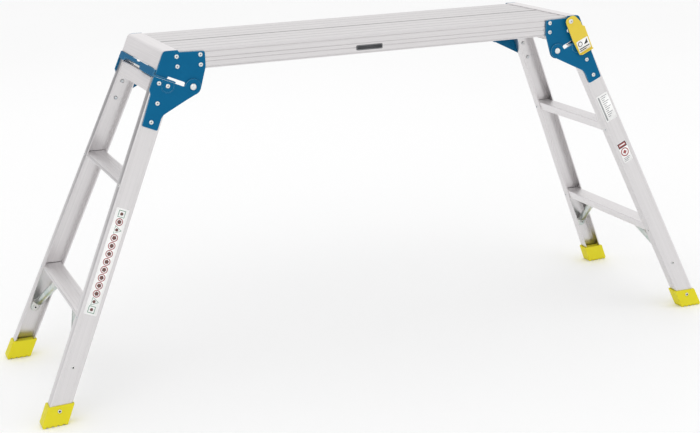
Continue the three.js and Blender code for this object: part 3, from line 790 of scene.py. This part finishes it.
def build_foot_and_brace_rivets():
    for end, side in PLACES:
        for node, down, lift, size in (("foot", 754.3, 3.5, 0.86), ("brace", 656.4, CLEAR, 0.74)):
            normal = web_normal(side, down)
            centre = web_point(end, side, RAIL_CENTRE, down) + normal * lift * MM
            inner = -RAIL_WEB - (2.5 + 2 * CLEAR if node == "brace" else CLEAR) - lift
            head = scaled(OPEN_RIVET, size, size)
            tail = [(4.4, inner), (4.3, inner - 1.2), (3.2, inner - 1.8), (0, inner - 1.9)]
            shank = [(2.2, 0), (2.2, inner)] + tail
            items = [(head + shank, centre, normal)]
            rivet = turned_group(f"{node}_fixing_{end}_{side}", items, "zinc")
            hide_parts(f"{node}_rivet_{end}_{side}")
            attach(rivet, f"leg_{end}")
            # painted shade: near-black discs in the rivet's bore and at its tail's end
            stems = [(scaled(BORE_SHADE, size, size), centre, normal)]
            end_face = centre + normal * (inner - 1.8) * MM
            stems.append(([(0, 0.5), (2.2, 0.4), (2.3, -0.3), (0, -0.3)], end_face, -normal))
            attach(turned_group(f"{node}_stem_{end}_{side}", stems, "dark"), f"leg_{end}")


def build_hinge_pins():
    """Large domed heads with a small centre dimple, and riveted tails."""
    head = [(0, 3.9), (1.0, 3.9), (1.6, 4.4), (3.2, 4.15), (5.2, 3.3), (6.8, 2.0), (7.7, 0.6)]
    neck = [(7.8, 0.1), (7.7, 0), (5, 0), (5, -7.1), (7.6, -7.1), (7.8, -7.5), (7.4, -9.4)]
    neck += [(5, -10.0), (0, -10.1)]
    for end, side in PLACES:
        across = Vector((0, SIDES[side], 0))
        centre = leg_point(end, 0, SIDES[side] * (LEG_PLATE_OUT + CLEAR), 0)
        pin = turned_group(f"pin_{end}_{side}", [(head + neck, centre, across)], "zinc")
        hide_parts(f"hinge_pin_{end}_{side}")
        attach(pin, "deck")


def build_embossing():
    """The half-round beads pressed into each leg plate about its inner top rivet."""
    out0, down0 = LEG_RIVETS[1]
    ring, bead = 14.4, 1.3
    angles = [math.pi * i / 6 for i in range(7)]
    outline = [(bead * math.cos(angle), 1.1 * math.sin(angle)) for angle in angles]
    limit = 124
    stations = [math.radians(angle) for angle in range(-limit, limit + 1, 4)]
    for end, side in PLACES:

        def place(a, b, angle):
            out = out0 + (ring + a) * math.sin(angle)
            down = down0 + (ring + a) * math.cos(angle)
            return web_point(end, side, out, down, LEG_PLATE_OUT - PLATE_OUT + b - 0.02)

        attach(sweep(f"boss_{end}_{side}", outline, stations, place, "blue", smooth=60), f"leg_{end}")


# ------------------------------------------------------------------ lock and lever


SPRING_OUT = 84.5
SPRING_DOWN = 4.2
ROD_START = -99.5  # across, at the left end, mirrored at the right
ROD_LENGTH = 133.6


def build_springs():
    """The return coil behind each lock bar's middle cut-out."""
    coil, wire, turns, length = 2.75, 0.75, 30, 66.0
    steps, sides = turns * 16, 8
    for end in ENDS:
        vertices = []
        for step in range(steps + 1):
            t = step / steps
            angle = 2 * math.pi * turns * t
            for corner in range(sides):
                around = 2 * math.pi * corner / sides
                radius = coil + wire * math.cos(around)
                y = length * (t - 0.5) + wire * math.sin(around)
                out = SPRING_OUT + radius * math.cos(angle)
                down = SPRING_DOWN + radius * math.sin(angle)
                vertices.append(leg_point(end, out, y, down))
        faces = []
        for step in range(steps):
            for corner in range(sides):
                base, following = step * sides, (corner + 1) % sides
                above = base + sides
                faces.append((base + corner, base + following, above + following, above + corner))
        faces += [tuple(range(sides)), tuple(range(steps * sides, (steps + 1) * sides))]
        spring = finish_mesh(f"return_spring_{end}", vertices, faces, "zinc", smooth=60)
        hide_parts(f"lock_spring_{end}")
        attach(spring, f"lock_bar_{end}")


def build_spring_rods():
    """The bright rod inside each coil, across the gap in the lock bar's web."""
    profile = [(0, 0), (1.5, 0), (1.75, 0.3)]
    profile += [(1.75, ROD_LENGTH - 0.3), (1.5, ROD_LENGTH), (0, ROD_LENGTH)]
    for end, sign in ENDS.items():
        start = leg_point(end, SPRING_OUT, ROD_START * sign, SPRING_DOWN)
        rod = turned_group(f"spring_rod_{end}", [(profile, start, Vector((0, sign, 0)))], "zinc")
        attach(rod, f"lock_bar_{end}")


LEVER_FACE = 159.5  # the lever's outside, from the centre plane


def build_lever_fixing():
    """The lever's pan-head screw and its collar."""
    across = Vector((0, -1, 0))
    centre = Vector((LEVER_AXIS.x, -(LEVER_FACE + CLEAR), LEVER_AXIS.z)) * MM
    head = [(0, 3.1), (2.2, 3.0), (4.2, 2.5), (5.6, 1.5), (6.2, 0.4), (6.1, 0)]
    shank = [(3, 0), (3, -12.6), (0, -12.6)]
    screw = turned_group("lever_pan_screw", [(head + shank, centre, across)], "zinc")
    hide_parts("lever_screw")
    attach(screw, "deck")
    collar = [(3.3, 0.2), (3.5, 0), (5.8, 0), (6.0, 0.2)]
    collar += [(r, 6.9 - h) for r, h in reversed(collar)]
    base = Vector((LEVER_AXIS.x, -(PLATE_OUT + CLEAR), LEVER_AXIS.z)) * MM
    ring = turned_group("lever_collar", [(collar + collar[:1], base, across)], "zinc")
    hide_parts("lever_spacer")
    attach(ring, "deck")
    build_cross_recess_shade(centre + across * 3.0 * MM, across)


def build_cross_recess_shade(middle, across):
    """Two dark bars, crossed in the top of the lever's screw: its cross recess, drawn as painted shade.
    """
    half_long, half_wide, proud, sunk = 3, 0.55, 0.12, 0.8
    shape = [(-half_long, -half_wide), (half_long, -half_wide)]
    shape += [(half_long, half_wide), (-half_long, half_wide)]
    sides = [(0, 1, 2, 3), (7, 6, 5, 4), (0, 4, 5, 1), (1, 5, 6, 2), (2, 6, 7, 3), (3, 7, 4, 0)]
    vertices, faces = [], []
    for angle in (40, 130):
        along = Vector((math.cos(math.radians(angle)), 0, math.sin(math.radians(angle))))
        other = Vector((-along.z, 0, along.x))
        corners = [middle + (along * a + other * b) * MM for a, b in shape]
        base = len(vertices)
        vertices += [corner + across * proud * MM for corner in corners]
        vertices += [corner - across * sunk * MM for corner in corners]
        faces += [tuple(base + index for index in face) for face in sides]
    # the recess's painted shade, in the darker mandrel metal
    recess = finish_mesh("lever_screw_recess_shade", vertices, faces, "mandrel")
    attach(recess, "deck")


# ------------------------------------------------------------------ stickers


def circle(a, b, radius, steps=28):
    turn = 2 * math.pi / steps
    return [(a + radius * math.cos(i * turn), b + radius * math.sin(i * turn)) for i in range(steps)]


def polygon(a, b, radius, sides, turn=0.0):
    angles = [turn + 2 * math.pi * i / sides for i in range(sides)]
    return [(a + radius * math.cos(angle), b + radius * math.sin(angle)) for angle in angles]


def rectangle(a0, b0, a1, b1, radius=1.5):
    return rounded([(a0, b0, radius), (a1, b0, radius), (a1, b1, radius), (a0, b1, radius)], 4)


def decal(name, shapes, place, look, body, thickness=0.1):
    """Printed shapes on a surface. A shape is an outline, or a pair of outlines for a ring."""
    vertices, faces = [], []
    for shape in shapes:
        base = len(vertices)
        if isinstance(shape, tuple):
            outer, inner = shape
            count = len(outer)
            vertices += [place(a, b) for a, b in outer] + [place(a, b) for a, b in inner]
            for index in range(count):
                following = (index + 1) % count
                above = base + count
                faces.append((base + index, base + following, above + following, above + index))
        else:
            vertices += [place(a, b) for a, b in shape]
            faces.append(tuple(range(base, base + len(shape))))
    obj = finish_mesh(name, vertices, faces, look)
    solid = obj.modifiers.new("film", "SOLIDIFY")
    solid.thickness = thickness * MM
    solid.offset = 0
    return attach(obj, body)


def rail_sticker(end, side, lift):
    def place(out, down):
        return web_point(end, side, out, down, lift)

    return place


def build_strip_sticker():
    """The long strip on the near left rail: a column of rings, triangles and diamonds."""
    body = "leg_left"
    film = rail_sticker("left", "front", 0.1)
    ink = rail_sticker("left", "front", 0.2)
    low, high, top, bottom = 50.5, 80.0, 297.0, 537.0
    decal("sticker_strip", [rectangle(low, top, high, bottom)], film, "white", body)
    count = 13
    pitch = (bottom - top - 6) / count
    middle = (low + high) / 2
    red, green, dots = [], [], []
    for index in range(count):
        down = top + 3 + (index + 0.5) * pitch
        size = 0.43 * pitch
        if index in (0, 2, 11, 12):
            sides, turn = (3, math.pi) if index in (2, 11) else (4, math.pi / 4)
            ring = [polygon(middle, down, size * s, sides, turn) for s in (1.42, 1.2)]
            green.append((ring[0], ring[1]))
            dots.append(polygon(middle, down, size * 0.5, 6))
        else:
            red.append((circle(middle, down, size * 1.08), circle(middle, down, size * 0.84)))
            dots.append(polygon(middle, down, size * 0.68, 5, index))
    decal("sticker_strip_red", red, ink, "red", body)
    decal("sticker_strip_green", green, ink, "green", body)
    decal("sticker_strip_dots", dots, ink, "brown", body)


def build_right_rail_stickers():
    """A sheet of bars near the hinge, and a smaller one with a band and a ring below it."""
    body = "leg_right"
    film = rail_sticker("right", "front", 0.1)
    ink = rail_sticker("right", "front", 0.2)
    decal("sticker_plain", [rectangle(49, 158, 82, 230)], film, "white", body)
    bars = [rectangle(60, 163 + 5 * i, 78 - 5 * (i % 3), 164.6 + 5 * i, 0.4) for i in range(12)]
    bars.append(rectangle(52, 162, 56, 226, 0.6))
    decal("sticker_plain_bars", bars, ink, "grey", body, 0.06)
    decal("sticker_load", [rectangle(50, 294, 77, 349)], film, "white", body)
    decal("sticker_load_band", [rectangle(51, 295, 76, 308.5, 1)], ink, "red", body, 0.06)
    over = rail_sticker("right", "front", 0.28)
    border = (rectangle(51, 295, 76, 308.5, 1), rectangle(52.8, 296.8, 74.2, 306.7, 1))
    decal("sticker_load_line", [rectangle(55, 300, 72, 303, 0.8)], over, "white", body, 0.06)
    decal("sticker_load_border", [border], over, "ink", body, 0.06)
    ring = (circle(63.5, 321.5, 11.2), circle(63.5, 321.5, 8.6))
    arrow = polygon(63.5, 321.5, 5.6, 4)
    decal("sticker_load_ring", [ring, arrow], ink, "red", body, 0.06)
    bars = [rectangle(54, 336 + 4 * i, 73 - 4 * i, 337.5 + 4 * i, 0.4) for i in range(3)]
    decal("sticker_load_bars", bars, ink, "grey", body, 0.06)


def lever_sticker(lift):
    def place(out, down):
        return leg_point("right", out, -(LEVER_FACE + lift), down)

    return place


def build_lever_sticker():
    body = "safety_lever"
    film = lever_sticker(0.1)
    ink = lever_sticker(0.22)
    decal("sticker_lever", [rectangle(52, 4, 86, 34, 1.5)], film, "white", body)
    ring = (circle(60.5, 13.5, 6.5), circle(60.5, 13.5, 4.8))
    arrow = [(70, 19), (82, 19), (82, 7)]
    marks = [ring, arrow, rectangle(54, 24, 84, 26.5, 0.6), rectangle(54, 29, 74, 31, 0.6)]
    decal("sticker_lever_marks", marks, ink, "ink", body, 0.06)


def build_nameplate():
    """A blank dark plate with a pale border on the deck's front side."""

    def at(lift):
        def place(x, z):
            return Vector((x, -(DECK_SIDE + lift), z)) * MM

        return place

    low, high = DECK_TOP - 35.5, DECK_TOP - 23.5
    decal("nameplate", [rectangle(-70, low, -4, high, 3)], at(0.1), "ink", "deck", 0.3)
    outer = rectangle(-69, low + 1, -5, high - 1, 2.4)
    border = (outer, rectangle(-68.2, low + 1.8, -5.8, high - 1.8, 2))
    decal("nameplate_border", [border], at(0.28), "grey", "deck", 0.06)


# ------------------------------------------------------------------ carried-over CAD nodes


def dress(node, look, width):
    obj = frame["nodes"][node]
    obj.data.materials.clear()
    obj.data.materials.append(LOOKS[look])
    soften(obj, width)


def dress_cad_nodes():
    for end, side in PLACES:
        dress(f"deck_bracket_{end}_{side}", "blue", 0.5)
        dress(f"leg_bracket_{end}_{side}", "blue", 0.5)
        dress(f"foot_{end}_{side}", "yellow", 0.9)
    for end in ENDS:
        dress(f"lock_bar_{end}", "blue", 0.5)
    dress("safety_lever", "lever", 0.5)


# ------------------------------------------------------------------ camera, light and floor


CAMERA_PLACE = Vector((-1.2824, -2.9281, 1.2307))
CAMERA_RIGHT = Vector((0.91668, -0.39898, -0.02271))
CAMERA_UP = Vector((0.13162, 0.24777, 0.95984))
CAMERA_LENS = 68.63  # on a sensor 36 wide
CAMERA_SHIFT = -0.0012


def build_camera():
    """A camera low in front of the left end, rolled slightly, with the whole object in view."""
    camera = bpy.data.objects.new("camera", bpy.data.cameras.new("camera"))
    bpy.context.scene.collection.objects.link(camera)
    back = CAMERA_RIGHT.cross(CAMERA_UP)
    place = Matrix((CAMERA_RIGHT, CAMERA_UP, back)).transposed().to_4x4()
    place.translation = CAMERA_PLACE
    camera.matrix_world = place
    camera.data.sensor_width = 36
    camera.data.lens = CAMERA_LENS
    camera.data.shift_x = CAMERA_SHIFT
    bpy.context.scene.camera = camera


def build_floor():
    bpy.ops.mesh.primitive_plane_add(size=60, location=(0, 0, -0.0005))
    floor = bpy.context.object
    floor.name = "floor"
    floor.data.materials.append(floor_paint("floor_paint"))


def area_light(name, place, target, size, power):
    data = bpy.data.lights.new(name, "AREA")
    data.shape = "RECTANGLE"
    data.size, data.size_y = size
    data.energy = power
    light = bpy.data.objects.new(name, data)
    light.location = place
    light.rotation_euler = (Vector(target) - Vector(place)).to_track_quat("-Z", "Y").to_euler()
    bpy.context.scene.collection.objects.link(light)


def build_world():
    """A white surround with a darker patch that only reflections see."""
    world = bpy.data.worlds.new("studio")
    world.use_nodes = True
    bpy.context.scene.world = world
    nodes = world.node_tree.nodes
    links = world.node_tree.links
    places = nodes.new("ShaderNodeTexCoord")
    toward = nodes.new("ShaderNodeVectorMath")
    toward.operation = "DOT_PRODUCT"
    toward.inputs[1].default_value = Vector((-0.46, 0.88, 0.09)).normalized()
    ramp = nodes.new("ShaderNodeValToRGB")
    paths = nodes.new("ShaderNodeLightPath")
    seen = nodes.new("ShaderNodeMix")
    seen.data_type = "RGBA"
    seen.inputs["B"].default_value = (1.0, 1.0, 1.0, 1)
    links.new(places.outputs["Generated"], toward.inputs[0])
    links.new(toward.outputs["Value"], ramp.inputs["Fac"])
    links.new(paths.outputs["Is Camera Ray"], seen.inputs["Factor"])
    links.new(ramp.outputs["Color"], seen.inputs["A"])
    links.new(seen.outputs["Result"], nodes["Background"].inputs["Color"])
    ramp.color_ramp.elements[0].color = (1.0, 1.0, 1.0, 1)
    ramp.color_ramp.elements[0].position = 0.84
    ramp.color_ramp.elements[1].color = (0.3, 0.3, 0.31, 1)
    ramp.color_ramp.elements[1].position = 0.98
    nodes["Background"].inputs["Strength"].default_value = 1.0


def build_light():
    """Three soft lights: from the front left, the front right and behind."""
    area_light("key", (-2.2, -2.6, 3.4), (0, 0, 0.5), (2.6, 2.6), 12)
    area_light("fill", (3.0, -2.2, 2.0), (0, 0, 0.4), (2.4, 2.4), 5)
    area_light("back", (0.6, 3.2, 2.8), (0, 0, 0.5), (3.0, 2.0), 4)
    bpy.context.scene.view_settings.view_transform = "Standard"


build_planks()
build_caps()
build_rails()
build_rungs()
build_top_rungs()
build_braces()
build_bracket_rivets()
build_rivet_tails()
build_tread_rivets()
build_foot_and_brace_rivets()
build_hinge_pins()
build_embossing()
build_springs()
build_spring_rods()
build_lever_fixing()
build_strip_sticker()
build_right_rail_stickers()
build_lever_sticker()
build_nameplate()
dress_cad_nodes()
build_camera()
build_floor()
build_world()
build_light()
